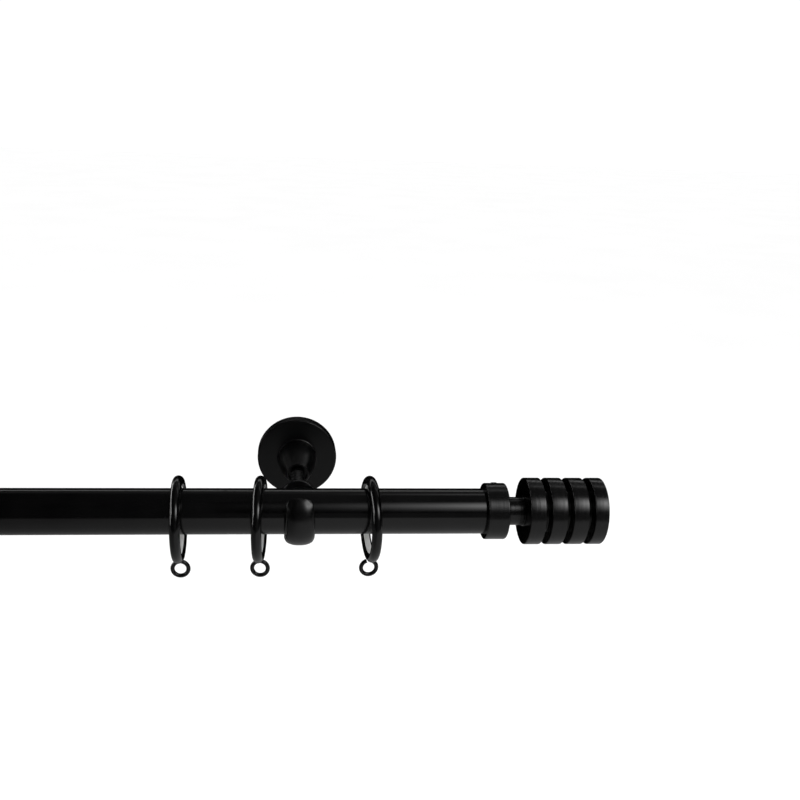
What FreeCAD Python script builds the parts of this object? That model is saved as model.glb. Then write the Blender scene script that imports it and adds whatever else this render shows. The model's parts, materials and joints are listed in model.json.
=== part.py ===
import FreeCAD, Part
import math
import os

# Curtain pole set: a 28 mm tube on two wall brackets, with a grooved finial on
# each end and eight lined rings. Millimetres. The origin is on the wall plane,
# midway between the brackets, at the height of the pole's axis. +X runs along
# the pole to the right, +Y points into the wall and +Z is up.

Vector = FreeCAD.Vector

# Driving dimensions
POLE_R = 14.0
POLE_WALL = 1.2
POLE_LENGTH = 1000.0
BRACKET_X = 376.0
PROJECTION = 100.0          # wall to pole axis
OVERRUN = 0.05              # how far a cutting tool runs past what it cuts

# Mounting disc on the wall, and its two screws
DISC_R = 23.0
DISC_T = 4.5
SCREW_SPACING = 32.0
SCREW_HOLE_R = 2.25
SCREW_NECK_R = 2.0
SCREW_THREAD_R = 2.25
SCREW_THREAD_START = 0.3    # behind the wall's surface
SCREW_HEAD_R = 4.4
SCREW_HEAD_DEPTH = 2.15
SCREW_LENGTH = 34.5
SCREW_TIP = 5.0
SCREW_TIP_R = 0.4
CROSS_LENGTH = 5.2
CROSS_WIDTH = 0.9
CROSS_DEPTH = 1.1

# Rose: round cover plate with a domed boss that guides the arm
ROSE_R = 27.5
ROSE_T = 8.4
ROSE_EDGE = 1.1
POCKET_R = 23.3
POCKET_DEPTH = 5.6
BOSS_FRONT = 40.0
BOSS_ROOT_R = 12.9
BOSS_FILLET = 1.5
BOSS_SHOULDER_R = 12.5
BOSS_SHOULDER = 21.5        # distance of the boss's widest bend from the wall
BOSS_CROWN = 75.0
BOSS_FRONT_R = 7.4
BOSS_LIP = 0.5
RECESS_R = 6.4
RECESS_DEPTH = 3.2

# Arm: stem that slides in the boss, with a flange against the cradle
STEM_R = 4.75
STEM_CLEARANCE = 0.08
STEM_REAR = 18.0            # distance of the stem's rear end from the wall
FLANGE_R = 10.8
FLANGE_T = 3.0
FLANGE_FRONT = 78.0

# Cradle: U-shaped cup that the pole drops into
CRADLE_BORE_R = 14.3
CRADLE_WALL = 6.5
CRADLE_WIDTH = 18.4
CRADLE_TOP_WIDTH = 15.8
CRADLE_FRONT_TOP = 14.6
CRADLE_BACK_TOP = 7.6
CRADLE_CORNER = 5.2
CRADLE_INSETS = (0.04, 0.2, 0.5, 1.0, 1.7, 2.5, 3.4, 4.6, 7.0, 10.5)
# Right half of the section's control points: across in half widths, outward in
# half walls. The face towards the pole is flat and the outer face is crowned.
CRADLE_SECTION = (
    (0.0, -1.0),
    (0.8, -1.0),
    (1.0, -1.0),
    (1.0, -0.3),
    (0.84, 0.5),
    (0.45, 0.97),
    (0.0, 1.01),
)
CRADLE_PAD_R = 7.4
CRADLE_PAD_ROOT = 3.0       # how far the pad reaches into the cradle's wall
CRADLE_SCREW_R = 2.5
CRADLE_SCREW_HEAD_R = 4.4
CRADLE_SCREW_SINK = 1.0     # head below the surface that the pole faces
CRADLE_SCREW_LENGTH = 14.4
CRADLE_SOCKET_R = 1.75
CRADLE_SOCKET_DEPTH = 2.2

# Finial: collar and neck in one piece, lip washer, stud and grooved barrel
COLLAR_R = 17.4
COLLAR_LENGTH = 13.0
COLLAR_GRIP = 10.2          # how far the pole goes into the collar
COLLAR_CLEARANCE = 0.08
NECK_R = 8.75
NECK_LENGTH = 10.9
NECK_FILLET = 1.2
LIP_R = 9.3
LIP_T = 1.0
BARREL_R = 20.7
BARREL_CORE_R = 13.0
BARREL_DISCS = 4
BARREL_DISC = 9.4
BARREL_GROOVE = 3.9
BARREL_END_DISC = 8.3
BARREL_EDGE = 0.45
STUD_R = 4.0
STUD_IN_BARREL = 20.0
STUD_GAP = 0.4              # left between the stud and the pole's end
COLLAR_SCREW_LEAN = 25.0    # degrees from the top towards the wall
COLLAR_SCREW_PROUD = 0.35

# Curtain rings: round wire with a nylon liner and a wire eyelet
RING_WIRE_R = 3.1
RING_CENTRE_R = 23.6
RING_DROP = 5.4             # ring centre below the pole axis
LINER_INNER_R = 19.75
LINER_OUTER_R = 21.9
LINER_WIDTH = 3.2
LINER_EDGE = 0.5
EYELET_WIRE_R = 1.3
EYELET_CENTRE_R = 4.85
EYELET_DROP = 33.2          # eyelet centre below the ring centre
EYELET_SHANK_TOP = 22.6
# Each ring's place along the pole and its small turn about the vertical, degrees
RINGS = (
    (-419.8, -4.4),
    (-352.0, 3.9),
    (-303.3, -0.2),
    (-100.0, -1.0),
    (100.0, 1.0),
    (303.3, 0.2),
    (352.0, -3.9),
    (419.8, 4.4),
)

# Grub screws, each with a hexagon socket
GRUB_R = 2.0
GRUB_SOCKET_R = 1.15
GRUB_SOCKET_DEPTH = 1.8
GRUB_GAP = 0.3              # left between a slackened screw and what it clamps
ROSE_GRUB_Y = -2.9
ROSE_GRUB_LENGTH = 4.0
ARM_GRUB_Y = -30.5
ARM_GRUB_LENGTH = 4.2
ROD_GRUB_LENGTH = 5.4

SIDES = (("left", -1), ("right", 1))


def line_or_nothing(start, end):
    """Straight edge, or nothing where two rounded corners meet."""
    if start.distanceToPoint(end) < 1e-6:
        return []
    return [Part.makeLine(start, end)]


def rounded_wire(corners):
    """Closed wire in the XY plane through (a, b, corner radius) corners."""
    points = [Vector(a, b, 0) for a, b, _ in corners]
    bends = []
    for i, (_, _, radius) in enumerate(corners):
        here = points[i]
        back = (points[i - 1] - here).normalize()
        ahead = (points[(i + 1) % len(points)] - here).normalize()
        half = back.getAngle(ahead) / 2
        if radius == 0:
            bends.append((here, None, here))
            continue
        reach = radius / math.tan(half)
        middle = (back + ahead).normalize() * (radius / math.sin(half) - radius)
        bends.append((here + back * reach, here + middle, here + ahead * reach))
    edges = []
    for i, (start, middle, end) in enumerate(bends):
        if middle is not None:
            edges.append(Part.Arc(start, middle, end).toShape())
        edges += line_or_nothing(end, bends[(i + 1) % len(bends)][0])
    return Part.Wire(edges)


def soft_wire(points):
    """Closed smooth wire of parabolas that touches each side of a polygon at its middle."""
    edges = []
    for i, here in enumerate(points):
        before = (points[i - 1] + here) / 2
        after = (here + points[(i + 1) % len(points)]) / 2
        curve = Part.BezierCurve()
        curve.setPoles([before, here, after])
        edges.append(curve.toShape())
    return Part.Wire(edges)


def turned_on_y(corners):
    """Solid turned about the Y axis from (radius, y, corner radius) corners."""
    face = Part.Face(rounded_wire(corners))
    return face.revolve(Vector(0, 0, 0), Vector(0, 1, 0), 360)


def turned_on_x(corners):
    """Solid turned about the X axis from (x, radius, corner radius) corners."""
    face = Part.Face(rounded_wire(corners))
    return face.revolve(Vector(0, 0, 0), Vector(1, 0, 0), 360)


def rod_between(start, end, radius):
    """Plain round rod from one point to another."""
    along = end - start
    return Part.makeCylinder(radius, along.Length, start, along)


def hexagon_socket(radius, bottom, outward, depth):
    """Cutting tool for a hexagon socket, from its bottom outward."""
    corners = []
    for i in range(7):
        turn = math.radians(60 * i)
        corners.append(Vector(radius * math.cos(turn), radius * math.sin(turn), 0))
    socket = Part.Face(Part.makePolygon(corners)).extrude(Vector(0, 0, depth + OVERRUN))
    socket.Placement = FreeCAD.Placement(bottom, FreeCAD.Rotation(Vector(0, 0, 1), outward))
    return socket


def grub_screw(tip, outward, length):
    """Grub screw from its tip outward, with a hexagon socket in its outer end."""
    body = rod_between(tip, tip + outward * length, GRUB_R)
    bottom = tip + outward * (length - GRUB_SOCKET_DEPTH)
    return body.cut(hexagon_socket(GRUB_SOCKET_R, bottom, outward, GRUB_SOCKET_DEPTH))


def screw_places():
    """Heights of the two wall screws of one bracket."""
    return (-SCREW_SPACING / 2, SCREW_SPACING / 2)


def wall_screw():
    """Countersunk wall screw about the Y axis, head flush with the disc's front."""
    head = -DISC_T
    tip = head + SCREW_LENGTH
    thread_step = SCREW_THREAD_R - SCREW_NECK_R
    screw = turned_on_y([
        (0, head, 0),
        (SCREW_HEAD_R, head, 0),
        (SCREW_NECK_R, head + SCREW_HEAD_DEPTH, 0),
        (SCREW_NECK_R, SCREW_THREAD_START - thread_step, 0),
        (SCREW_THREAD_R, SCREW_THREAD_START, 0),
        (SCREW_THREAD_R, tip - SCREW_TIP, 0),
        (SCREW_TIP_R, tip, 0),
        (0, tip, 0),
    ])
    half_length = CROSS_LENGTH / 2
    half_width = CROSS_WIDTH / 2
    flat_start = Vector(-half_length, head, -half_width)
    flat_bar = Part.makeBox(CROSS_LENGTH, CROSS_DEPTH, CROSS_WIDTH, flat_start)
    upright_start = Vector(-half_width, head, -half_length)
    upright_bar = Part.makeBox(CROSS_WIDTH, CROSS_DEPTH, CROSS_LENGTH, upright_start)
    return screw.cut(flat_bar.fuse(upright_bar))


def wall_screws(x):
    """The two wall screws of one bracket, as separate solids."""
    screws = []
    for z in screw_places():
        screw = wall_screw()
        screw.translate(Vector(x, 0, z))
        screws.append(screw)
    return Part.makeCompound(screws)


def mount_disc(x):
    """Steel disc on the wall, countersunk for its two screws."""
    disc = turned_on_y([
        (0, 0, 0),
        (DISC_R, 0, 0.3),
        (DISC_R, -DISC_T, 0.6),
        (0, -DISC_T, 0),
    ])
    hole = turned_on_y([
        (0, -DISC_T, 0),
        (SCREW_HEAD_R, -DISC_T, 0),
        (SCREW_HOLE_R, -DISC_T + SCREW_HEAD_DEPTH, 0),
        (SCREW_HOLE_R, 0, 0),
        (0, 0, 0),
    ])
    for z in screw_places():
        one = hole.copy()
        one.translate(Vector(0, 0, z))
        disc = disc.cut(one)
    disc.translate(Vector(x, 0, 0))
    return disc


def rose_screw_tip(x):
    """Tip of the screw that holds the rose on the mounting disc."""
    return Vector(x, ROSE_GRUB_Y, -DISC_R)


def arm_screw_tip(x):
    """Tip of the screw that clamps the arm's stem in the boss."""
    return Vector(x, ARM_GRUB_Y, -STEM_R - GRUB_GAP)


def rose(x):
    """Wall plate and boss in one casting, hollow behind and bored for the stem."""
    body = turned_on_y([
        (0, 0, 0),
        (ROSE_R, 0, 0),
        (ROSE_R, -ROSE_T, ROSE_EDGE),
        (BOSS_ROOT_R, -ROSE_T, BOSS_FILLET),
        (BOSS_SHOULDER_R, -BOSS_SHOULDER, BOSS_CROWN),
        (BOSS_FRONT_R, -BOSS_FRONT, BOSS_LIP),
        (0, -BOSS_FRONT, 0),
    ])
    bore_r = STEM_R + STEM_CLEARANCE
    hollow = turned_on_y([
        (0, OVERRUN, 0),
        (POCKET_R, OVERRUN, 0),
        (POCKET_R, -POCKET_DEPTH, 0.6),
        (bore_r, -POCKET_DEPTH, 0),
        (bore_r, -BOSS_FRONT + RECESS_DEPTH, 0),
        (RECESS_R, -BOSS_FRONT + RECESS_DEPTH, 0.4),
        (RECESS_R, -BOSS_FRONT - OVERRUN, 0),
        (0, -BOSS_FRONT - OVERRUN, 0),
    ])
    body = body.cut(hollow)
    body.translate(Vector(x, 0, 0))
    below = Vector(0, 0, -ROSE_R)
    rim_hole = rod_between(rose_screw_tip(x), rose_screw_tip(x) + below, GRUB_R)
    boss_hole = rod_between(arm_screw_tip(x), arm_screw_tip(x) + below, GRUB_R)
    return body.cut(rim_hole).cut(boss_hole)


def stem(x):
    """Arm stem with its flange, threaded in front for the cradle's screw."""
    body = turned_on_y([
        (0, -STEM_REAR, 0),
        (STEM_R, -STEM_REAR, 0.6),
        (STEM_R, -FLANGE_FRONT + FLANGE_T, 0.8),
        (FLANGE_R, -FLANGE_FRONT + FLANGE_T, 0.7),
        (FLANGE_R, -FLANGE_FRONT, 0.4),
        (0, -FLANGE_FRONT, 0),
    ])
    body.translate(Vector(x, 0, 0))
    return body.cut(cradle_screw_blank(x))


def cradle_section(station):
    """Soft section of the cradle's band: how far it is along, and how it lies."""
    depth, height, lean, half_width, half_wall = station
    right = [Vector(across * half_width, outward * half_wall, 0) for across, outward in CRADLE_SECTION]
    left = [Vector(-point.x, point.y, 0) for point in right[-2:0:-1]]
    wire = soft_wire(right + left)
    wire.rotate(Vector(0, 0, 0), Vector(1, 0, 0), lean)
    wire.translate(Vector(0, depth, height))
    return wire


def rounded_half(full, corner, inset):
    """Half size at an inset from a rounded end, with the given corner radius."""
    if inset >= corner:
        return full
    return full - corner + math.sqrt(corner ** 2 - (corner - inset) ** 2)


def cradle_leg(side, top):
    """Stations down one straight leg of the cradle, from its rounded tip."""
    middle_r = CRADLE_BORE_R + CRADLE_WALL / 2
    half_wall = CRADLE_WALL / 2
    lean = 180 if side < 0 else 360
    stations = []
    for inset in CRADLE_INSETS:
        if inset > top - 0.5:
            break
        share = (top - inset) / CRADLE_FRONT_TOP
        half_width = (CRADLE_WIDTH + share * (CRADLE_TOP_WIDTH - CRADLE_WIDTH)) / 2
        stations.append((
            side * middle_r,
            top - inset,
            lean,
            rounded_half(half_width, CRADLE_CORNER, inset),
            rounded_half(half_wall, half_wall, inset),
        ))
    return stations


def cradle_bend():
    """Stations round the bottom of the cradle, from front to back."""
    middle_r = CRADLE_BORE_R + CRADLE_WALL / 2
    stations = []
    for step in range(13):
        lean = 180 + 15 * step
        turn = math.radians(lean)
        place = (middle_r * math.cos(turn), middle_r * math.sin(turn))
        stations.append((*place, lean, CRADLE_WIDTH / 2, CRADLE_WALL / 2))
    return stations


def cradle_screw_front():
    """Where the front of the cradle screw's head lies along Y."""
    return -PROJECTION + CRADLE_BORE_R + CRADLE_SCREW_SINK


def cradle_screw_blank(x):
    """Countersunk screw that fixes the cradle to the stem, without its drive."""
    front = cradle_screw_front()
    end = front + CRADLE_SCREW_LENGTH
    body = turned_on_y([
        (0, front, 0),
        (CRADLE_SCREW_HEAD_R, front, 0),
        (CRADLE_SCREW_R, front + CRADLE_SCREW_HEAD_R - CRADLE_SCREW_R, 0),
        (CRADLE_SCREW_R, end, 0.6),
        (0, end, 0),
    ])
    body.translate(Vector(x, 0, 0))
    return body


def cradle_screw(x):
    """Cradle screw with a hexagon socket facing the pole."""
    bottom = Vector(x, cradle_screw_front() + CRADLE_SOCKET_DEPTH, 0)
    socket = hexagon_socket(CRADLE_SOCKET_R, bottom, Vector(0, -1, 0), CRADLE_SOCKET_DEPTH)
    return cradle_screw_blank(x).cut(socket)


def rod_screw_tip(x):
    """Tip of the screw under the cradle that stops the pole from turning."""
    return Vector(x, -PROJECTION, -POLE_R - GRUB_GAP)


def cradle(x):
    """U-shaped cradle with rounded edges, a back pad and its screw holes."""
    outer = CRADLE_BORE_R + CRADLE_WALL
    back_leg = cradle_leg(1, CRADLE_BACK_TOP)
    stations = cradle_leg(-1, CRADLE_FRONT_TOP) + cradle_bend() + back_leg[::-1]
    body = Part.makeLoft([cradle_section(station) for station in stations], True)
    body.translate(Vector(x, -PROJECTION, 0))
    pad_root = Vector(x, -PROJECTION + outer - CRADLE_PAD_ROOT, 0)
    pad = rod_between(pad_root, Vector(x, -FLANGE_FRONT, 0), CRADLE_PAD_R)
    body = body.fuse(pad)
    axis = Vector(x, -PROJECTION, 0)
    way_in = rod_between(axis, Vector(x, cradle_screw_front(), 0), CRADLE_SCREW_HEAD_R)
    lock_hole = rod_between(axis, axis + Vector(0, 0, -2 * outer), GRUB_R)
    return body.cut(cradle_screw_blank(x)).cut(way_in).cut(lock_hole)


def pole_tube():
    """The pole itself, a thin tube open at both ends."""
    start = Vector(-POLE_LENGTH / 2, -PROJECTION, 0)
    end = Vector(POLE_LENGTH / 2, -PROJECTION, 0)
    return rod_between(start, end, POLE_R).cut(rod_between(start, end, POLE_R - POLE_WALL))


# Stations along the right finial, measured from the middle of the pole
COLLAR_START = POLE_LENGTH / 2 - COLLAR_GRIP
COLLAR_END = COLLAR_START + COLLAR_LENGTH
NECK_END = COLLAR_END + NECK_LENGTH
BARREL_START = NECK_END + LIP_T
BARREL_PITCH = BARREL_DISC + BARREL_GROOVE
BARREL_END = BARREL_START + (BARREL_DISCS - 1) * BARREL_PITCH + BARREL_END_DISC
POLE_STOP = POLE_LENGTH / 2 + 0.2


def on_side(shape, side):
    """Moves a piece made on the X axis to the pole's axis, turned for the left end."""
    if side < 0:
        shape.rotate(Vector(0, 0, 0), Vector(0, 0, 1), 180)
    shape.translate(Vector(0, -PROJECTION, 0))
    return shape


def stud_blank():
    """Threaded stud that joins the collar's neck to the barrel."""
    start = POLE_STOP + STUD_GAP
    return turned_on_x([
        (start, 0, 0),
        (start, STUD_R, 0.5),
        (BARREL_START + STUD_IN_BARREL, STUD_R, 0.5),
        (BARREL_START + STUD_IN_BARREL, 0, 0),
    ])


def collar_screw_direction(side):
    """The collar's set screw leans back from the top, towards the wall."""
    lean = math.radians(COLLAR_SCREW_LEAN)
    return Vector(0, side * math.sin(lean), math.cos(lean))


def collar_middle():
    """Middle of the collar on the X axis."""
    return Vector(COLLAR_START + COLLAR_LENGTH / 2, 0, 0)


def collar_screw(side):
    """Set screw of the finial's collar, standing just proud of it."""
    direction = collar_screw_direction(side)
    start_r = POLE_R + GRUB_GAP
    length = COLLAR_R + COLLAR_SCREW_PROUD - start_r
    return grub_screw(collar_middle() + direction * start_r, direction, length)


def finial_collar(side):
    """Sleeve over the pole's end, closed by a wall that carries the neck."""
    sleeve_r = POLE_R + COLLAR_CLEARANCE
    body = turned_on_x([
        (COLLAR_START, 0, 0),
        (COLLAR_START, COLLAR_R, 0.5),
        (COLLAR_END, COLLAR_R, 1.0),
        (COLLAR_END, NECK_R, NECK_FILLET),
        (NECK_END, NECK_R, 0.3),
        (NECK_END, 0, 0),
    ])
    sleeve = rod_between(Vector(COLLAR_START - OVERRUN, 0, 0), Vector(POLE_STOP, 0, 0), sleeve_r)
    middle = collar_middle()
    hole = rod_between(middle, middle + collar_screw_direction(side) * 2 * COLLAR_R, GRUB_R)
    stud_hole = rod_between(Vector(POLE_STOP - OVERRUN, 0, 0), Vector(NECK_END + OVERRUN, 0, 0), STUD_R)
    return body.cut(sleeve).cut(hole).cut(stud_hole)


def finial_lip():
    """Thin washer between the neck and the barrel."""
    return turned_on_x([
        (NECK_END, STUD_R, 0),
        (NECK_END, LIP_R, 0.3),
        (BARREL_START, LIP_R, 0.3),
        (BARREL_START, STUD_R, 0),
    ])


def finial_barrel():
    """Barrel of four discs parted by three square grooves."""
    corners = [(BARREL_START, 0, 0)]
    for i in range(BARREL_DISCS - 1):
        start = BARREL_START + i * BARREL_PITCH
        corners += [
            (start, BARREL_R, BARREL_EDGE),
            (start + BARREL_DISC, BARREL_R, BARREL_EDGE),
            (start + BARREL_DISC, BARREL_CORE_R, BARREL_EDGE),
            (start + BARREL_PITCH, BARREL_CORE_R, BARREL_EDGE),
        ]
    corners += [
        (BARREL_END - BARREL_END_DISC, BARREL_R, BARREL_EDGE),
        (BARREL_END, BARREL_R, BARREL_EDGE),
        (BARREL_END, 0, 0),
    ]
    return turned_on_x(corners).cut(stud_blank())


def ring_placement(x, turn):
    """Placement of a ring made about the X axis with its centre at the origin."""
    return FreeCAD.Placement(
        Vector(x, -PROJECTION, -RING_DROP), FreeCAD.Rotation(Vector(0, 0, 1), turn))


def eyelet_blank():
    """Wire loop facing the room, with a shank up into the ring."""
    centre = Vector(0, 0, -EYELET_DROP)
    loop = Part.makeTorus(EYELET_CENTRE_R, EYELET_WIRE_R, centre, Vector(0, 1, 0))
    shank = rod_between(
        centre + Vector(0, 0, EYELET_CENTRE_R), Vector(0, 0, -EYELET_SHANK_TOP), EYELET_WIRE_R)
    return loop.fuse(shank)


def liner_blank():
    """Nylon band inside the ring, with rounded inner edges."""
    half = LINER_WIDTH / 2
    return turned_on_x([
        (-half, LINER_INNER_R, LINER_EDGE),
        (half, LINER_INNER_R, LINER_EDGE),
        (half, LINER_OUTER_R, 0),
        (-half, LINER_OUTER_R, 0),
    ])


def curtain_ring():
    """Round wire ring, grooved inside for the liner and drilled for the shank."""
    ring = Part.makeTorus(RING_CENTRE_R, RING_WIRE_R, Vector(0, 0, 0), Vector(1, 0, 0))
    half = LINER_WIDTH / 2
    groove = turned_on_x([
        (-half, LINER_INNER_R - 1, 0),
        (half, LINER_INNER_R - 1, 0),
        (half, LINER_OUTER_R, 0),
        (-half, LINER_OUTER_R, 0),
    ])
    return ring.cut(groove).cut(eyelet_blank())


def build():
    """Every piece of the pole set, by node name."""
    nodes = {"pole_tube": pole_tube()}
    down = Vector(0, 0, -1)
    for name, side in SIDES:
        x = side * BRACKET_X
        nodes["mount_disc_" + name] = mount_disc(x)
        nodes["wall_screws_" + name] = wall_screws(x)
        nodes["rose_" + name] = rose(x)
        nodes["rose_grub_screw_" + name] = grub_screw(rose_screw_tip(x), down, ROSE_GRUB_LENGTH)
        nodes["arm_lock_screw_" + name] = grub_screw(arm_screw_tip(x), down, ARM_GRUB_LENGTH)
        nodes["arm_stem_" + name] = stem(x)
        nodes["cradle_" + name] = cradle(x)
        nodes["cradle_screw_" + name] = cradle_screw(x)
        nodes["rod_lock_screw_" + name] = grub_screw(rod_screw_tip(x), down, ROD_GRUB_LENGTH)
        nodes["finial_collar_" + name] = on_side(finial_collar(side), side)
        nodes["finial_lip_" + name] = on_side(finial_lip(), side)
        nodes["finial_barrel_" + name] = on_side(finial_barrel(), side)
        nodes["finial_stud_" + name] = on_side(stud_blank(), side)
        nodes["finial_grub_screw_" + name] = on_side(collar_screw(side), side)
    for number, (x, turn) in enumerate(RINGS, start=1):
        pieces = {
            "curtain_ring_": curtain_ring(),
            "ring_liner_": liner_blank(),
            "ring_eyelet_": eyelet_blank(),
        }
        for prefix, shape in pieces.items():
            shape.Placement = ring_placement(x, turn)
            nodes[prefix + str(number)] = shape
    return nodes


os.makedirs("parts", exist_ok=True)
for node, shape in build().items():
    print(node, shape.isValid(), len(shape.Solids), round(shape.Volume, 1))
    shape.exportStep("parts/" + node + ".step")
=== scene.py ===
import json
import math

import bmesh
import bpy
from mathutils import Matrix, Vector


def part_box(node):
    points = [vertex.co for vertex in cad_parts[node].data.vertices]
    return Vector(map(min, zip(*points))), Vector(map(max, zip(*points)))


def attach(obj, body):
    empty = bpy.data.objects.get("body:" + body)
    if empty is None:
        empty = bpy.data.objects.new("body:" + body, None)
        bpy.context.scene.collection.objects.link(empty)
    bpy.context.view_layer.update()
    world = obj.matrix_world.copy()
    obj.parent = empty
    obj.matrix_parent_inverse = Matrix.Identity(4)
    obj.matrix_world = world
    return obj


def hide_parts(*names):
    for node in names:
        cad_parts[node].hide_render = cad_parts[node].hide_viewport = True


# Looks of the curtain pole set, in metres. +X runs along the pole, +Y into the
# wall and +Z up, with the pole's axis at z = 0.

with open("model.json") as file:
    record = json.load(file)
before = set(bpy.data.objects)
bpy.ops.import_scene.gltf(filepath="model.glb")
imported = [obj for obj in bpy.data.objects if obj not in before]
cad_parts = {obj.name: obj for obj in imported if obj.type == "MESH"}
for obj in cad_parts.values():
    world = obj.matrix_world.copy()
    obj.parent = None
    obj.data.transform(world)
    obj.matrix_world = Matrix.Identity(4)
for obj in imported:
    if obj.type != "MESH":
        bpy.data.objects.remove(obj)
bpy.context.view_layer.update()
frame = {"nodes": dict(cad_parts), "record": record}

MM = 0.001
SIDES = (("left", -1), ("right", 1))
SEGMENTS = 128              # round the visible turned pieces
SHARP_ANGLE = math.radians(32)
GRUB_R = 2.0 * MM
CUT_PAST = 0.1 * MM         # how far a cutting tool runs past what it cuts
DOWN = Vector((0, 0, -1))


# ---------------------------------------------------------------- places

def centre_of(node):
    """Middle of a CAD node's box."""
    low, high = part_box(node)
    return (low + high) / 2


def size_of(node):
    """Size of a CAD node's box."""
    low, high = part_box(node)
    return high - low


POLE_AXIS = centre_of("pole_tube")
POLE_R = size_of("pole_tube").z / 2
POLE_HALF = size_of("pole_tube").x / 2
BRACKET_X = {name: centre_of("rose_" + name).x for name, _ in SIDES}


# ---------------------------------------------------------------- mesh tools

def rounded_outline(corners, steps=6):
    """Points of an outline through (a, b, corner radius) corners, closed."""
    points = [Vector((a, b)) for a, b, _ in corners]
    outline = []
    for i, (_, _, radius) in enumerate(corners):
        here = points[i]
        back = (points[i - 1] - here).normalized()
        ahead = (points[(i + 1) % len(points)] - here).normalized()
        if radius == 0:
            outline.append(here)
            continue
        half = back.angle(ahead) / 2
        bisector = (back + ahead).normalized()
        middle = here + bisector * (radius / math.sin(half))
        first = here + back * (radius / math.tan(half)) - middle
        last = here + ahead * (radius / math.tan(half)) - middle
        sweep = first.angle_signed(last)
        for step in range(steps + 1):
            turn = Matrix.Rotation(-sweep * step / steps, 2)
            outline.append(middle + turn @ first)
    return outline


def new_object(name, bm, material):
    """Object made from a bmesh, shaded smooth with its sharp edges marked."""
    bmesh.ops.remove_doubles(bm, verts=bm.verts, dist=1e-7)
    bmesh.ops.recalc_face_normals(bm, faces=bm.faces)
    mesh = bpy.data.meshes.new(name)
    bm.to_mesh(mesh)
    bm.free()
    obj = bpy.data.objects.new(name, mesh)
    bpy.context.scene.collection.objects.link(obj)
    if material is not None:
        mesh.materials.append(material)
    shade_by_angle(mesh)
    return obj


def shade_by_angle(mesh, angle=SHARP_ANGLE):
    """Smooth shading, with edges over the angle marked sharp."""
    bm = bmesh.new()
    bm.from_mesh(mesh)
    for face in bm.faces:
        face.smooth = True
    for edge in bm.edges:
        edge.smooth = len(edge.link_faces) == 2 and edge.calc_face_angle(0) < angle
    bm.to_mesh(mesh)
    bm.free()


def turned(outline, segments=SEGMENTS):
    """Bmesh of an outline of (along, radius) points turned about the X axis."""
    bm = bmesh.new()
    rows = []
    for along, radius in outline:
        if radius < 1e-9:
            rows.append([bm.verts.new((along, 0, 0))] * segments)
            continue
        row = []
        for i in range(segments):
            turn = 2 * math.pi * i / segments
            row.append(bm.verts.new((along, radius * math.cos(turn), radius * math.sin(turn))))
        rows.append(row)
    for k, row in enumerate(rows):
        after = rows[(k + 1) % len(rows)]
        if row[0] is row[1] and after[0] is after[1]:
            continue
        for i in range(segments):
            j = (i + 1) % segments
            corners = []
            for vert in (row[i], row[j], after[j], after[i]):
                if vert not in corners:
                    corners.append(vert)
            if len(corners) > 2:
                bm.faces.new(corners)
    return bm


def place(bm, towards, origin):
    """Turns a bmesh made along +X to point another way, and moves it."""
    turn = Vector((1, 0, 0)).rotation_difference(Vector(towards)).to_matrix().to_4x4()
    bm.transform(Matrix.Translation(origin) @ turn)
    return bm


def cylinder(radius, start, end, segments=48):
    """Bmesh of a closed cylinder between two points, for cutting."""
    start = Vector(start)
    along = Vector(end) - start
    bm = turned([(0, 0), (0, radius), (along.length, radius), (along.length, 0)], segments)
    return place(bm, along, start)


def cut(obj, cutters, operation="DIFFERENCE"):
    """Cuts bmesh cutters from an object (or joins them to it) and keeps the result."""
    tools = []
    for i, bm in enumerate(cutters):
        tool = new_object(obj.name + "_tool_%d" % i, bm, None)
        modifier = obj.modifiers.new("cut", "BOOLEAN")
        modifier.object = tool
        modifier.operation = operation
        modifier.solver = "EXACT"
        tools.append(tool)
    bpy.context.view_layer.update()
    evaluated = obj.evaluated_get(bpy.context.evaluated_depsgraph_get())
    mesh = bpy.data.meshes.new_from_object(evaluated)
    obj.modifiers.clear()
    obj.data = mesh
    shade_by_angle(mesh)
    for tool in tools:
        bpy.data.objects.remove(tool)
    return obj


def hexagon(across_r, start, end):
    """Bmesh of a hexagonal prism between two points, for sockets."""
    return cylinder(across_r, start, end, 6)


def threaded(stations, pitch, depth, segments=40, steps_per_turn=10):
    """Bmesh of a threaded bar along +X through (along, crest radius, share of depth) stations."""
    bm = bmesh.new()
    rows = []
    for (start, start_r, start_share), (end, end_r, end_share) in zip(stations, stations[1:]):
        steps = max(1, round((end - start) / pitch * steps_per_turn))
        for step in range(steps + 1):
            mix = step / steps
            along = start + (end - start) * mix
            crest = start_r + (end_r - start_r) * mix
            groove = depth * (start_share + (end_share - start_share) * mix)
            row = []
            for i in range(segments):
                turn = 2 * math.pi * i / segments
                phase = (along / pitch - i / segments) % 1
                radius = max(crest - groove * (1 - abs(2 * phase - 1)), 0.05 * MM)
                row.append(bm.verts.new((along, radius * math.cos(turn), radius * math.sin(turn))))
            rows.append(row)
    for row, after in zip(rows, rows[1:]):
        for i in range(segments):
            j = (i + 1) % segments
            bm.faces.new((row[i], row[j], after[j], after[i]))
    bm.faces.new(rows[0][::-1])
    bm.faces.new(rows[-1])
    return bm


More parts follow.
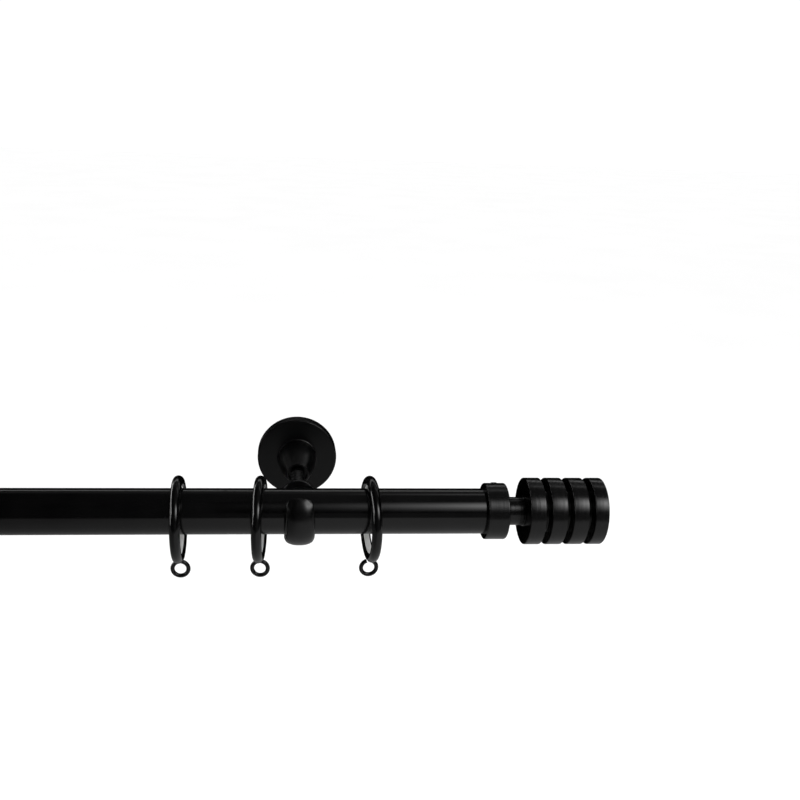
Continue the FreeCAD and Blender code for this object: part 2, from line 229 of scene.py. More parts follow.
def bent_wire(name, points, radius, material):
    """Round wire along a list of points, with closed ends, as a mesh."""
    curve = bpy.data.curves.new(name + "_route", "CURVE")
    curve.dimensions = "3D"
    curve.bevel_depth = radius
    curve.bevel_resolution = 7
    curve.use_fill_caps = True
    spline = curve.splines.new("POLY")
    spline.points.add(len(points) - 1)
    for target, point in zip(spline.points, points):
        target.co = (*point, 1)
    route = bpy.data.objects.new(name + "_route", curve)
    bpy.context.scene.collection.objects.link(route)
    bpy.context.view_layer.update()
    evaluated = route.evaluated_get(bpy.context.evaluated_depsgraph_get())
    mesh = bpy.data.meshes.new_from_object(evaluated)
    bpy.data.objects.remove(route)
    mesh.materials.clear()
    mesh.materials.append(material)
    shade_by_angle(mesh, math.radians(50))
    obj = bpy.data.objects.new(name, mesh)
    bpy.context.scene.collection.objects.link(obj)
    return obj


def joined(name, objects):
    """Several objects as one, keeping the first one's material."""
    bm = bmesh.new()
    for obj in objects:
        bm.from_mesh(obj.data)
    material = objects[0].data.materials[0]
    for obj in objects:
        bpy.data.objects.remove(obj)
    mesh = bpy.data.meshes.new(name)
    bm.to_mesh(mesh)
    bm.free()
    mesh.materials.append(material)
    result = bpy.data.objects.new(name, mesh)
    bpy.context.scene.collection.objects.link(result)
    return result


def stand_for(obj, node, body):
    """The piece replaces a CAD node and rides on its body."""
    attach(obj, body)
    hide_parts(node)
    return obj


# ---------------------------------------------------------------- materials

def new_material(name, base, metallic, roughness, specular=0.5):
    """Principled material and its shader node."""
    material = bpy.data.materials.new(name)
    material.use_nodes = True
    shader = material.node_tree.nodes["Principled BSDF"]
    shader.inputs["Base Color"].default_value = (*base, 1)
    shader.inputs["Metallic"].default_value = metallic
    shader.inputs["Roughness"].default_value = roughness
    shader.inputs["Specular IOR Level"].default_value = specular
    return material, shader


def add_node(material, kind, **values):
    """Node of a kind, with its input sockets set by name."""
    node = material.node_tree.nodes.new(kind)
    for key, value in values.items():
        node.inputs[key.replace("_", " ")].default_value = value
    return node


def link(material, source, target):
    """Link between two sockets."""
    material.node_tree.links.new(source, target)


def object_coordinates(material, scale=(1, 1, 1)):
    """Object coordinates in metres, stretched by a scale for each axis."""
    coordinates = add_node(material, "ShaderNodeTexCoord")
    mapping = add_node(material, "ShaderNodeMapping", Scale=scale)
    link(material, coordinates.outputs["Object"], mapping.inputs["Vector"])
    return mapping.outputs["Vector"]


def noise(material, vector, scale, detail=2.0):
    """Noise value, 0 to 1."""
    node = add_node(material, "ShaderNodeTexNoise", Scale=scale, Detail=detail)
    link(material, vector, node.inputs["Vector"])
    return node.outputs["Fac"]


def ranged(material, value, low, high):
    """A 0 to 1 value moved to a range."""
    node = add_node(material, "ShaderNodeMapRange", To_Min=low, To_Max=high)
    link(material, value, node.inputs["Value"])
    return node.outputs["Result"]


def ramp(material, value, stops):
    """Colour ramp over (position, grey or colour) stops."""
    node = add_node(material, "ShaderNodeValToRGB")
    elements = node.color_ramp.elements
    while len(elements) < len(stops):
        elements.new(0.5)
    for element, (position, colour) in zip(elements, stops):
        element.position = position
        element.color = (*colour, 1)
    link(material, value, node.inputs["Fac"])
    return node.outputs["Color"]


def bump(material, shader, heights):
    """Chained bumps of (height socket, distance in metres)."""
    normal = None
    for height, distance in heights:
        node = add_node(material, "ShaderNodeBump", Strength=1.0, Distance=distance)
        link(material, height, node.inputs["Height"])
        if normal is not None:
            link(material, normal, node.inputs["Normal"])
        normal = node.outputs["Normal"]
    link(material, normal, shader.inputs["Normal"])


BLACK_DEEP = (0.0006, 0.0006, 0.0007)
BLACK_PALE = (0.0014, 0.0014, 0.0015)
STREAK_HEIGHT = 0.08 * MM


def black_coat(name, roughness, grain, lines=None, specular=0.5):
    """Black lacquer: faint orange peel, uneven gloss and, on turned pieces, fine marks."""
    material, shader = new_material(name, (0.001, 0.001, 0.001), 0.0, roughness, specular)
    space = object_coordinates(material)
    patches = noise(material, space, scale=45, detail=3)
    peel = noise(material, space, scale=900)
    tint = ramp(material, patches, ((0.3, BLACK_DEEP), (0.7, BLACK_PALE)))
    link(material, tint, shader.inputs["Base Color"])
    heights = [(peel, grain)]
    if lines is None:
        gloss = ranged(material, patches, roughness * 0.85, roughness * 1.2)
    else:
        streaks = noise(material, object_coordinates(material, lines), scale=1, detail=4)
        gloss = ranged(material, streaks, roughness * 0.45, roughness * 1.7)
        heights.append((streaks, STREAK_HEIGHT))
    link(material, gloss, shader.inputs["Roughness"])
    bump(material, shader, heights)
    return material


def zinc_plate():
    """Bright zinc plating with a soft blotchy sheen."""
    material, shader = new_material("zinc_steel", (0.6, 0.6, 0.58), 1.0, 0.32)
    space = object_coordinates(material)
    blotches = noise(material, space, scale=220, detail=4)
    tint = ramp(material, blotches, ((0.25, (0.5, 0.5, 0.49)), (0.75, (0.66, 0.65, 0.62))))
    link(material, tint, shader.inputs["Base Color"])
    link(material, ranged(material, blotches, 0.24, 0.42), shader.inputs["Roughness"])
    bump(material, shader, [(noise(material, space, scale=2500), 0.006 * MM)])
    return material


def screw_black():
    """Blackened steel of the grub screws."""
    material, shader = new_material("black_screw", (0.02, 0.02, 0.022), 0.6, 0.4)
    space = object_coordinates(material)
    wear = noise(material, space, scale=700, detail=3)
    tint = ramp(material, wear, ((0.35, (0.014, 0.014, 0.015)), (0.8, (0.045, 0.045, 0.047))))
    link(material, tint, shader.inputs["Base Color"])
    link(material, ranged(material, wear, 0.32, 0.5), shader.inputs["Roughness"])
    bump(material, shader, [(wear, 0.01 * MM)])
    return material


def nylon():
    """Pale nylon of the liners, a little cloudy and faintly see-through."""
    material, shader = new_material("nylon_liner", (0.7, 0.7, 0.69), 0.0, 0.42, 0.5)
    shader.inputs["Subsurface Weight"].default_value = 0.25
    shader.inputs["Subsurface Radius"].default_value = (2 * MM, 2 * MM, 2 * MM)
    space = object_coordinates(material)
    cloud = noise(material, space, scale=160, detail=3)
    tint = ramp(material, cloud, ((0.3, (0.62, 0.62, 0.61)), (0.7, (0.72, 0.72, 0.71))))
    link(material, tint, shader.inputs["Base Color"])
    link(material, ranged(material, cloud, 0.36, 0.5), shader.inputs["Roughness"])
    bump(material, shader, [(noise(material, space, scale=1400), 0.008 * MM)])
    return material


MARKS = (950, 14, 14)       # fine marks round a piece turned about X
FINE_GRAIN = 0.003 * MM
CAST_GRAIN = 0.006 * MM
WALL_PLATES = ("rose_left", "rose_right")    # their coat is duller than the other castings'
MATERIALS = {
    "black_tube": black_coat("black_tube", 0.13, FINE_GRAIN),
    "black_casting": black_coat("black_casting", 0.26, CAST_GRAIN),
    "black_plate": black_coat("black_plate", 0.3, CAST_GRAIN, specular=0.3),
    "black_turned": black_coat("black_turned", 0.2, FINE_GRAIN, MARKS),
    "black_ring": black_coat("black_ring", 0.14, FINE_GRAIN),
    "black_screw": screw_black(),
    "zinc_steel": zinc_plate(),
    "nylon_liner": nylon(),
}


def dress_frame():
    """Every CAD node gets its slot's material, and the wall plates their own."""
    slots = {entry["node"]: entry["material_slot"] for entry in frame["record"]["subparts"]}
    for node, obj in frame["nodes"].items():
        obj.data.materials.clear()
        finish = "black_plate" if node in WALL_PLATES else slots[node]
        obj.data.materials.append(MATERIALS[finish])


# ---------------------------------------------------------------- pole

POLE_WALL = 1.2 * MM
POLE_EASE = 0.3 * MM
POLE_SEGMENTS = 192


def build_pole():
    """Fine tube with eased ends, in place of the CAD one."""
    bore_r = POLE_R - POLE_WALL
    outline = rounded_outline([
        (-POLE_HALF, POLE_R, POLE_EASE),
        (POLE_HALF, POLE_R, POLE_EASE),
        (POLE_HALF, bore_r, POLE_EASE),
        (-POLE_HALF, bore_r, POLE_EASE),
    ])
    bm = turned(outline, POLE_SEGMENTS)
    obj = new_object("pole", place(bm, (1, 0, 0), POLE_AXIS), MATERIALS["black_tube"])
    stand_for(obj, "pole_tube", "pole")


# ---------------------------------------------------------------- finials

BARREL_DISCS = 4
BARREL_DISC = 9.4 * MM
BARREL_PITCH = 13.3 * MM
BARREL_CORE_R = 13.0 * MM
BARREL_EDGE = 0.45 * MM
BARREL_HOLE_DEPTH = 20.0 * MM
BARREL_HOLE_EDGE = 0.25 * MM
BARREL_SEGMENTS = 160
LATHE_CENTRE_R = 1.4 * MM
LATHE_CENTRE_DEPTH = 1.1 * MM
LATHE_CENTRE_EDGE = 0.15 * MM
STUD_R = 4.0 * MM
STUD_CHAMFER = 0.6 * MM
STUD_PITCH = 1.25 * MM
STUD_THREAD = 0.6 * MM


def barrel_outline(length, radius):
    """Outline of the barrel from its lip end: discs, grooves, a hole and a lathe centre."""
    edge = BARREL_EDGE
    outline = [
        (BARREL_HOLE_DEPTH, 0, 0),
        (BARREL_HOLE_DEPTH, STUD_R, 0),
        (0, STUD_R, BARREL_HOLE_EDGE),
    ]
    for i in range(BARREL_DISCS - 1):
        start = i * BARREL_PITCH
        outline += [
            (start, radius, edge),
            (start + BARREL_DISC, radius, edge),
            (start + BARREL_DISC, BARREL_CORE_R, edge),
            (start + BARREL_PITCH, BARREL_CORE_R, edge),
        ]
    outline += [
        ((BARREL_DISCS - 1) * BARREL_PITCH, radius, edge),
        (length, radius, edge),
        (length, LATHE_CENTRE_R, LATHE_CENTRE_EDGE),
        (length - LATHE_CENTRE_DEPTH, 0, 0),
    ]
    return rounded_outline(outline, 5)


def build_barrels():
    """Turned barrels with eased edges, in place of the CAD ones."""
    for name, side in SIDES:
        node = "finial_barrel_" + name
        size = size_of(node)
        start = centre_of(node) - Vector((side * size.x / 2, 0, 0))
        bm = turned(barrel_outline(size.x, size.z / 2), BARREL_SEGMENTS)
        place(bm, (side, 0, 0), start)
        obj = new_object("barrel_" + name, bm, MATERIALS["black_turned"])
        stand_for(obj, node, "finial_" + name)


def build_studs():
    """Threaded studs between the collars and the barrels."""
    for name, side in SIDES:
        node = "finial_stud_" + name
        length = size_of(node).x
        start = centre_of(node) - Vector((side * length / 2, 0, 0))
        bm = threaded([
            (0, STUD_R - STUD_CHAMFER, 0),
            (STUD_CHAMFER, STUD_R, 1),
            (length - STUD_CHAMFER, STUD_R, 1),
            (length, STUD_R - STUD_CHAMFER, 0),
        ], STUD_PITCH, STUD_THREAD)
        obj = new_object("stud_" + name, place(bm, (side, 0, 0), start), MATERIALS["zinc_steel"])
        stand_for(obj, node, "finial_" + name)


# ---------------------------------------------------------------- cradles

CRADLE_BORE_R = 14.3 * MM
CRADLE_OUTER_R = 20.8 * MM
CRADLE_HALF_WIDTH = 9.2 * MM
CRADLE_TOP_HALF_WIDTH = 7.9 * MM
CRADLE_FRONT_TOP = 14.4 * MM
CRADLE_BACK_TOP = 7.6 * MM
CRADLE_CORNER = 5.2 * MM
CRADLE_INSETS = (0.03, 0.1, 0.25, 0.5, 0.9, 1.4, 2.0, 2.7, 3.5, 4.4, 5.2, 6.0, 7.2, 8.8, 10.5, 12.5)
# Half of the outer face: across in half widths, and how far it falls below its crown
CRADLE_FACE = ((1.0, 4.3 * MM), (0.84, 1.7 * MM), (0.45, 0.25 * MM), (0.0, 0.0))
CRADLE_INNER = ((0.0, 0.0), (0.8, 0.0), (1.0, 0.0))
CRADLE_BEND_STEPS = 36
CRADLE_EDGE_SHARE = 0.35    # least height of the side's bend, as a share of the wall
CRADLE_PAD_R = 7.4 * MM
CRADLE_PAD_START = 17.8 * MM
CRADLE_PAD_END = 22.0 * MM
CRADLE_SCREW_R = 2.5 * MM
CRADLE_SCREW_HEAD_R = 4.4 * MM
CRADLE_SCREW_FRONT = 15.3 * MM


def softened(corners, steps=6):
    """Points of the smooth closed curve that touches each side of a polygon at its middle."""
    points = []
    for i, here in enumerate(corners):
        start = (corners[i - 1] + here) / 2
        end = (here + corners[(i + 1) % len(corners)]) / 2
        for step in range(steps):
            mix = step / steps
            points.append(start * (1 - mix) ** 2 + here * (2 * mix * (1 - mix)) + end * mix ** 2)
    return points


def round_off(full, corner, inset):
    """Half size at an inset from an end with rounded corners."""
    if inset >= corner:
        return full
    return full - corner + math.sqrt(corner ** 2 - (corner - inset) ** 2)


def cradle_stations():
    """Inner and outer (y, z) points and half width of each section, from front tip to back tip."""
    stations = []
    for inset in CRADLE_INSETS:
        z = CRADLE_FRONT_TOP - inset * MM
        outer = -math.sqrt(CRADLE_OUTER_R ** 2 - z ** 2)
        share = z / CRADLE_FRONT_TOP
        width = CRADLE_HALF_WIDTH + share * (CRADLE_TOP_HALF_WIDTH - CRADLE_HALF_WIDTH)
        width = round_off(width, CRADLE_CORNER, inset * MM)
        stations.append((Vector((-CRADLE_BORE_R, z)), Vector((outer, z)), width))
    for step in range(CRADLE_BEND_STEPS + 1):
        turn = math.pi * (1 + step / CRADLE_BEND_STEPS)
        spoke = Vector((math.cos(turn), math.sin(turn)))
        stations.append((spoke * CRADLE_BORE_R, spoke * CRADLE_OUTER_R, CRADLE_HALF_WIDTH))
    for inset in CRADLE_INSETS[::-1]:
        z = CRADLE_BACK_TOP - inset * MM
        if z > 0:
            width = round_off(CRADLE_HALF_WIDTH, CRADLE_CORNER, inset * MM)
            stations.append((Vector((CRADLE_BORE_R, z)), Vector((CRADLE_OUTER_R, z)), width))
    return stations


def cradle_section(inner, outer, half_width):
    """Points of one section: flat towards the pole, crowned outside."""
    wall = (outer - inner).length
    outward = (outer - inner) / wall
    right = [(across, 0.0) for across, _ in CRADLE_INNER]
    right += [(across, max(wall - fall, CRADLE_EDGE_SHARE * wall)) for across, fall in CRADLE_FACE]
    left = [(-across, height) for across, height in right[-2:0:-1]]
    corners = []
    for across, height in right + left:
        spot = inner + outward * height
        corners.append(Vector((across * half_width, spot.x, spot.y)))
    return softened(corners)


def cradle_band():
    """Bmesh of the cradle's bent band about the pole's axis."""
    bm = bmesh.new()
    rows = []
    for station in cradle_stations():
        rows.append([bm.verts.new(point) for point in cradle_section(*station)])
    count = len(rows[0])
    for row, after in zip(rows, rows[1:]):
        for i in range(count):
            j = (i + 1) % count
            bm.faces.new((row[i], row[j], after[j], after[i]))
    bm.faces.new(rows[0][::-1])
    bm.faces.new(rows[-1])
    return bm


def build_cradles():
    """Cradles with a fully rounded outer face, with their pad and screw holes."""
    for name, _ in SIDES:
        node = "cradle_" + name
        axis = Vector((BRACKET_X[name], POLE_AXIS.y, POLE_AXIS.z))
        band = cradle_band()
        band.transform(Matrix.Translation(axis))
        obj = new_object(node + "_rounded", band, MATERIALS["black_casting"])
        back = Vector((0, 1, 0))
        pad = cylinder(CRADLE_PAD_R, axis + back * CRADLE_PAD_START, axis + back * CRADLE_PAD_END, 96)
        cut(obj, [pad], "UNION")
        cone_end = CRADLE_SCREW_FRONT + CRADLE_SCREW_HEAD_R - CRADLE_SCREW_R
        screw_way = place(turned([
            (0, 0),
            (0, CRADLE_SCREW_HEAD_R),
            (CRADLE_SCREW_FRONT, CRADLE_SCREW_HEAD_R),
            (cone_end, CRADLE_SCREW_R),
            (CRADLE_PAD_END + CUT_PAST, CRADLE_SCREW_R),
            (CRADLE_PAD_END + CUT_PAST, 0),
        ], 64), back, axis)
        lock_way = cylinder(GRUB_R, axis, axis + DOWN * (2 * CRADLE_OUTER_R))
        cut(obj, [screw_way, lock_way])
        stand_for(obj, node, "arm_" + name)


# ---------------------------------------------------------------- screws

GRUB_CHAMFER = 0.35 * MM
GRUB_PITCH = 0.7 * MM
GRUB_THREAD = 0.28 * MM     # depth of the thread
GRUB_SOCKET_R = 1.15 * MM
GRUB_SOCKET_DEPTH = 1.8 * MM
COLLAR_SCREW_LEAN = math.radians(25)
COLLAR_SCREW_LENGTH = 3.45 * MM


def grub_screw(node, body, outward, length):
    """Threaded grub screw with a chamfered end and a hexagon socket."""
    bm = threaded([
        (0, GRUB_R - GRUB_CHAMFER, 0),
        (GRUB_CHAMFER, GRUB_R, 1),
        (length - GRUB_CHAMFER, GRUB_R, 1),
        (length, GRUB_R - GRUB_CHAMFER, 0),
    ], GRUB_PITCH, GRUB_THREAD)
    tip = centre_of(node) - outward * (length / 2)
    obj = new_object(node + "_threaded", place(bm, outward, tip), MATERIALS["black_screw"])
    mouth = tip + outward * (length + CUT_PAST)
    cut(obj, [hexagon(GRUB_SOCKET_R, mouth - outward * GRUB_SOCKET_DEPTH, mouth)])
    stand_for(obj, node, body)


def build_grub_screws():
    """Every grub screw, with the way it points."""
    for name, side in SIDES:
        leaning = Vector((0, math.sin(COLLAR_SCREW_LEAN), math.cos(COLLAR_SCREW_LEAN)))
        grub_screw("finial_grub_screw_" + name, "finial_" + name, leaning, COLLAR_SCREW_LENGTH)
        for prefix, body in (
            ("rose_grub_screw_", "wall_brackets"),
            ("arm_lock_screw_", "wall_brackets"),
            ("rod_lock_screw_", "arm_" + name),
        ):
            grub_screw(prefix + name, body, DOWN, size_of(prefix + name).z)


WALL_SCREW_LENGTH = 34.5 * MM
WALL_SCREW_HEAD_R = 4.4 * MM
WALL_SCREW_HEAD_EDGE = 0.3 * MM
WALL_SCREW_HEAD_DEPTH = 2.15 * MM
WALL_SCREW_NECK_R = 2.0 * MM
WALL_SCREW_NECK_END = 4.6 * MM
WALL_SCREW_RUN_OUT = 0.6 * MM
WALL_SCREW_R = 2.25 * MM
WALL_SCREW_TAPER = 5.0 * MM
WALL_SCREW_TIP_R = 0.3 * MM
WALL_SCREW_PITCH = 1.8 * MM
WALL_SCREW_THREAD = 0.7 * MM
CROSS_REACH = 2.4 * MM
CROSS_HALF = 0.62 * MM
CROSS_DEPTH = 0.5 * MM


def wall_screw(name, head):
    """Countersunk wall screw with a coarse thread and a cross recess, pointing into the wall."""
    head_end = WALL_SCREW_HEAD_EDGE + WALL_SCREW_HEAD_DEPTH
    bm = threaded([
        (0, WALL_SCREW_HEAD_R - CUT_PAST, 0),
        (WALL_SCREW_HEAD_EDGE / 2, WALL_SCREW_HEAD_R, 0),
        (WALL_SCREW_HEAD_EDGE, WALL_SCREW_HEAD_R, 0),
        (head_end, WALL_SCREW_NECK_R, 0),
        (WALL_SCREW_NECK_END, WALL_SCREW_NECK_R, 0),
        (WALL_SCREW_NECK_END + WALL_SCREW_RUN_OUT, WALL_SCREW_R, 1),
        (WALL_SCREW_LENGTH - WALL_SCREW_TAPER, WALL_SCREW_R, 1),
        (WALL_SCREW_LENGTH, WALL_SCREW_TIP_R, 0.1),
    ], WALL_SCREW_PITCH, WALL_SCREW_THREAD)
    obj = new_object(name, place(bm, (0, 1, 0), head), MATERIALS["zinc_steel"])
    middle = head + Vector((0, CROSS_DEPTH, 0))
    bars = []
    for across in (Vector((CROSS_REACH, 0, 0)), Vector((0, 0, CROSS_REACH))):
        bars.append(cylinder(CROSS_HALF, middle - across, middle + across, 4))
    return cut(obj, bars)


def build_wall_screws():
    """Two screws through each mounting disc."""
    for name, _ in SIDES:
        node = "wall_screws_" + name
        low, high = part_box(node)
        middle = (low + high) / 2
        reach = (high.z - low.z) / 2 - WALL_SCREW_HEAD_R
        screws = []
        for i, z in enumerate((middle.z - reach, middle.z + reach)):
            screws.append(wall_screw("wall_screw_%s_%d" % (name, i), Vector((middle.x, low.y, z))))
        obj = joined("wall_screws_threaded_" + name, screws)
        stand_for(obj, node, "wall_brackets")


# ---------------------------------------------------------------- eyelets

RING_TURNS = (-4.4, 3.9, -0.2, -1.0, 1.0, 0.2, -3.9, 4.4)
EYELET_WIRE_R = 1.3 * MM
EYELET_LOOP_R = 4.85 * MM
EYELET_LOOP_SWEEP = math.radians(330)
EYELET_BEND_R = 1.5 * MM
EYELET_SHANK_TOP = 10.3 * MM
EYELET_SHANK_END = 0.8 * MM    # above the bend's start


def eyelet_route():
    """Wire of an eyelet about its loop's centre: a shank, then once round."""
    bend_r = EYELET_BEND_R
    rise = math.sqrt((EYELET_LOOP_R + bend_r) ** 2 - bend_r ** 2)
    points = [Vector((0, 0, EYELET_SHANK_TOP)), Vector((0, 0, rise + EYELET_SHANK_END))]
    join = math.atan2(rise, bend_r)
    for step in range(7):
        turn = math.pi + join * step / 6
        across = bend_r + bend_r * math.cos(turn)
        points.append(Vector((across, 0, rise + bend_r * math.sin(turn))))
    for step in range(1, 61):
        turn = join - EYELET_LOOP_SWEEP * step / 60
        points.append(EYELET_LOOP_R * Vector((math.cos(turn), 0, math.sin(turn))))
    return points


def build_eyelets():
    """Bent wire eyelets under the rings."""
    for number, turn in enumerate(RING_TURNS, start=1):
        node = "ring_eyelet_%d" % number
        low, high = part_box(node)
        centre = (low + high) / 2
        centre.z = low.z + EYELET_LOOP_R + EYELET_WIRE_R
        spin = Matrix.Rotation(math.radians(turn), 3, "Z")
        points = [centre + spin @ point for point in eyelet_route()]
        obj = bent_wire("eyelet_%d" % number, points, EYELET_WIRE_R, MATERIALS["black_ring"])
        stand_for(obj, node, "ring_%d" % number)


# ---------------------------------------------------------------- studio

CAMERA_FROM_BRACKET = Vector((-0.0111, -0.5141, 0.2303))
CAMERA_DOWN = math.radians(21.37)
CAMERA_TILT = math.radians(-5.13)
CAMERA_ROLL = math.radians(0.18)
CAMERA_SENSOR = 36.0        # millimetres, like the lens
CAMERA_LENS = 41.52
CAMERA_SHIFT = (0.045, 0.0835)

FLOOR_LEVEL = -0.5
FLOOR_SIDE = 14.0
FLOOR_FRONT = -2.9
FLOOR_BACK = 14.0

LAMP_PLACE = (1.11, -0.87, 0.92)
LAMP_TARGET = (0.45, -0.1, 0.0)
LAMP_SIZE = (1.1, 1.25)
LAMP_RADIANCE = 3.0
WORLD_GREY = (0.93, 0.93, 0.93, 1)
WORLD_STRENGTH = 1.13

# A tent of cards round the pole, which only reflections show
TENT_LEFT = -2.6
TENT_RIGHT = 3.2
TENT_FRONT = -2.7
TENT_BACK = 2.6
TENT_FLOOR = -0.49
TENT_TOP = 2.5
BACK_BLACK_TOP = 1.1
FLOOR_LIT_TO = 0.6          # how far back the lit part of the floor card goes
SIDE_LIGHT_X = -0.9
FLAG_FROM_BRACKET = 0.046   # a small black card beside each bracket shades its boss
EVEN = ((0.0, 1.0), (1.0, 1.0))    # no fade, as (place, share of brightness) stops


def aim(obj, target):
    """Points an object's -Z axis at a place, keeping it upright."""
    direction = Vector(target) - obj.location
    obj.rotation_euler = direction.to_track_quat("-Z", "Y").to_euler()


def area_light(name, location, target, size, radiance):
    """Rectangular soft light of a given brightness."""
    light = bpy.data.lights.new(name, "AREA")
    light.shape = "RECTANGLE"
    light.size, light.size_y = size
    light.energy = radiance * math.pi * size[0] * size[1]
    obj = bpy.data.objects.new(name, light)
    bpy.context.scene.collection.objects.link(obj)
    obj.location = location
    obj.visible_camera = False
    aim(obj, target)
    return obj


def build_lamp():
    """Soft lamp for shadows and for the pale and plated pieces."""
    lamp = area_light("lamp", LAMP_PLACE, LAMP_TARGET, LAMP_SIZE, LAMP_RADIANCE)
    lamp.visible_glossy = False


def flat_piece(name, corners, material):
    """A flat stage piece from its corners."""
    mesh = bpy.data.meshes.new(name)
    mesh.from_pydata(corners, [], [tuple(range(len(corners)))])
    mesh.materials.append(material)
    obj = bpy.data.objects.new(name, mesh)
    bpy.context.scene.collection.objects.link(obj)
    return obj


def build_floor():
    """Pale floor well below the pole."""
    material, shader = new_material("floor", (0.9, 0.9, 0.9), 0.0, 0.9, 0.1)
    space = object_coordinates(material)
    stains = noise(material, space, scale=3)
    tint = ramp(material, stains, ((0.3, (0.94, 0.94, 0.94)), (0.7, (0.96, 0.96, 0.96))))
    link(material, tint, shader.inputs["Base Color"])
    corners = [
        (-FLOOR_SIDE, FLOOR_FRONT, FLOOR_LEVEL),
        (FLOOR_SIDE, FLOOR_FRONT, FLOOR_LEVEL),
        (FLOOR_SIDE, FLOOR_BACK, FLOOR_LEVEL),
        (-FLOOR_SIDE, FLOOR_BACK, FLOOR_LEVEL),
    ]
    flat_piece("floor", corners, material)


def multiplied(material, first, second):
    """Product of a value socket and another socket or number."""
    node = material.node_tree.nodes.new("ShaderNodeMath")
    node.operation = "MULTIPLY"
    link(material, first, node.inputs[0])
    if isinstance(second, float):
        node.inputs[1].default_value = second
    else:
        link(material, second, node.inputs[1])
    return node.outputs["Value"]


def glow(name, radiance, across=None, up=EVEN):
    """Card material of a given brightness, which may fade across and up the card."""
    material, shader = new_material(name, (0, 0, 0), 0.0, 1.0, 0.0)
    shader.inputs["Emission Color"].default_value = (1, 1, 1, 1)
    shader.inputs["Emission Strength"].default_value = radiance
    if across is None:
        return material
    coordinates = add_node(material, "ShaderNodeTexCoord")
    parts = add_node(material, "ShaderNodeSeparateXYZ")
    link(material, coordinates.outputs["Generated"], parts.inputs["Vector"])
    fades = []
    for socket, stops in (("X", across), ("Z", up)):
        greys = [(where, (value, value, value)) for where, value in stops]
        fades.append(ramp(material, parts.outputs[socket], greys))
    strength = multiplied(material, multiplied(material, *fades), radiance)
    link(material, strength, shader.inputs["Emission Strength"])
    return material


def card(name, corners, material):
    """A card that is seen only in the pole's reflections."""
    obj = flat_piece(name, corners, material)
    obj.visible_camera = False
    obj.visible_diffuse = False
    obj.visible_transmission = False
    obj.visible_shadow = False
    return obj


def side_card(name, x, y_range, z_range, material):
    """An upright card across the pole's length, over a range of y and of z."""
    near, far = y_range
    low, high = z_range
    return card(name, [(x, near, low), (x, far, low), (x, far, high), (x, near, high)], material)


def strip(name, x_range, low, high, material):
    """A card between two (y, z) lines, over a range of x."""
    start, end = x_range
    corners = [(start, *low), (end, *low), (end, *high), (start, *high)]
    return card(name, corners, material)


def build_tent():
    """Dark walls round the pole, and the dim floor that its underside reflects."""
    black = glow("black_card", 0.0)
    dark = glow("dark_card", 0.075, ((0.36, 0.0), (0.6, 1.0)))
    width = (TENT_LEFT, TENT_RIGHT)
    strip("card_back", width, (TENT_BACK, TENT_FLOOR), (TENT_BACK, BACK_BLACK_TOP), black)
    strip("card_back_high", width, (TENT_BACK, BACK_BLACK_TOP), (TENT_BACK, TENT_TOP), dark)
    strip("card_top", width, (TENT_FRONT, TENT_TOP), (TENT_BACK, TENT_TOP), dark)
    strip("card_front", width, (TENT_FRONT, TENT_FLOOR), (TENT_FRONT, TENT_TOP), dark)
    for name, x in (("left", TENT_LEFT), ("right", TENT_RIGHT)):
        side_card("card_" + name, x, (TENT_FRONT, TENT_BACK), (TENT_FLOOR, TENT_TOP), black)
    strip("card_floor_back", width, (FLOOR_LIT_TO, TENT_FLOOR), (TENT_BACK, TENT_FLOOR), black)
    lit = glow("floor_card", 0.41, ((0.3, 0.35), (0.45, 0.48), (0.53, 1.0), (1.0, 1.0)))
    strip("card_floor", width, (TENT_FRONT, TENT_FLOOR), (FLOOR_LIT_TO, TENT_FLOOR), lit)


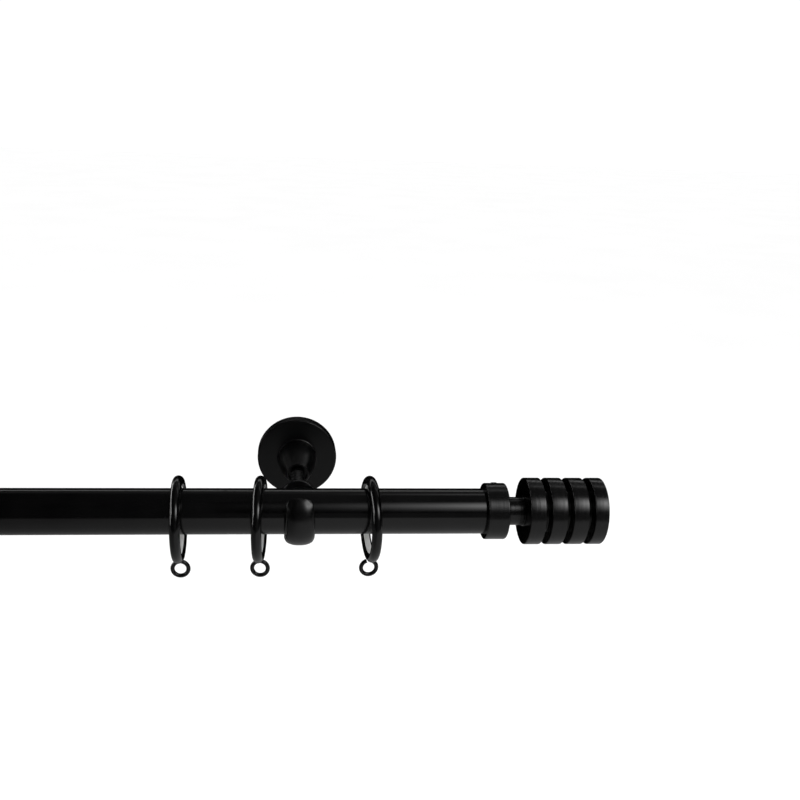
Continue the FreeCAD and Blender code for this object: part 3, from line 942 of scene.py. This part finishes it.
def build_strips():
    """Narrow lights that draw the bright lines along the pole and on the rims."""
    width = (TENT_LEFT, TENT_RIGHT)
    strip("strip_back", width, (2.3, 1.3), (2.3, 1.72), glow("back_strip", 0.95))
    strip("strip_back_high", width, (1.5, 1.85), (1.35, 2.05), glow("back_high", 0.16))
    overhead = glow("overhead_strip", 0.7, ((0.0, 0.0), (0.25, 0.9), (1.0, 1.0)))
    strip("strip_overhead", (0.5, 2.0), (0.58, 1.13), (0.4, 1.2), overhead)
    side = glow("side_strip", 6.5)
    side_card("strip_left", SIDE_LIGHT_X, (-0.6, 1.8), (0.38, 0.6), side)
    side_card("strip_left_low", SIDE_LIGHT_X, (-0.35, -0.2), (-0.1, 0.38), side)
    shade = glow("flag_card", 0.0)
    for name, _ in SIDES:
        x = BRACKET_X[name] - FLAG_FROM_BRACKET
        side_card("flag_" + name, x, (-0.055, 0.06), (-0.03, 0.07), shade)


def build_soft_box():
    """Large soft light to the right, above and in front, with faded edges."""
    across = (
        (0.0, 0.0), (0.1, 0.027), (0.19, 0.09), (0.3, 0.28),
        (0.36, 0.47), (0.45, 0.85), (0.55, 1.0),
    )
    up = (
        (0.0, 0.0), (0.15, 0.02), (0.3, 0.22), (0.45, 0.6),
        (0.6, 1.0), (0.72, 0.75), (0.85, 0.35), (1.0, 0.0),
    )
    strip("soft_box", (0.35, 1.75), (-1.3, 0.3), (-0.52, 1.2), glow("soft_box", 6.0, across, up))


def build_world():
    """Even pale surroundings."""
    world = bpy.data.worlds.new("studio")
    world.use_nodes = True
    background = world.node_tree.nodes["Background"]
    background.inputs["Color"].default_value = WORLD_GREY
    background.inputs["Strength"].default_value = WORLD_STRENGTH
    bpy.context.scene.world = world


def build_camera():
    """Camera from a little above, looking at the right bracket and finial."""
    bracket = Vector((BRACKET_X["right"], POLE_AXIS.y, POLE_AXIS.z))
    camera = bpy.data.cameras.new("camera")
    camera.sensor_width = CAMERA_SENSOR
    camera.lens = CAMERA_LENS
    camera.shift_x, camera.shift_y = CAMERA_SHIFT
    camera.dof.use_dof = False
    obj = bpy.data.objects.new("camera", camera)
    bpy.context.scene.collection.objects.link(obj)
    pitch = Matrix.Rotation(math.pi / 2 - CAMERA_DOWN, 4, "X")
    tilt = Matrix.Rotation(CAMERA_TILT, 4, "Y")
    roll = Matrix.Rotation(CAMERA_ROLL, 4, "Z")
    obj.matrix_world = Matrix.Translation(bracket + CAMERA_FROM_BRACKET) @ pitch @ tilt @ roll
    bpy.context.scene.camera = obj


dress_frame()
build_pole()
build_barrels()
build_studs()
build_cradles()
build_grub_screws()
build_wall_screws()
build_eyelets()
build_floor()
build_tent()
build_strips()
build_soft_box()
build_world()
build_lamp()
build_camera()
bpy.context.scene.view_settings.view_transform = "Standard"
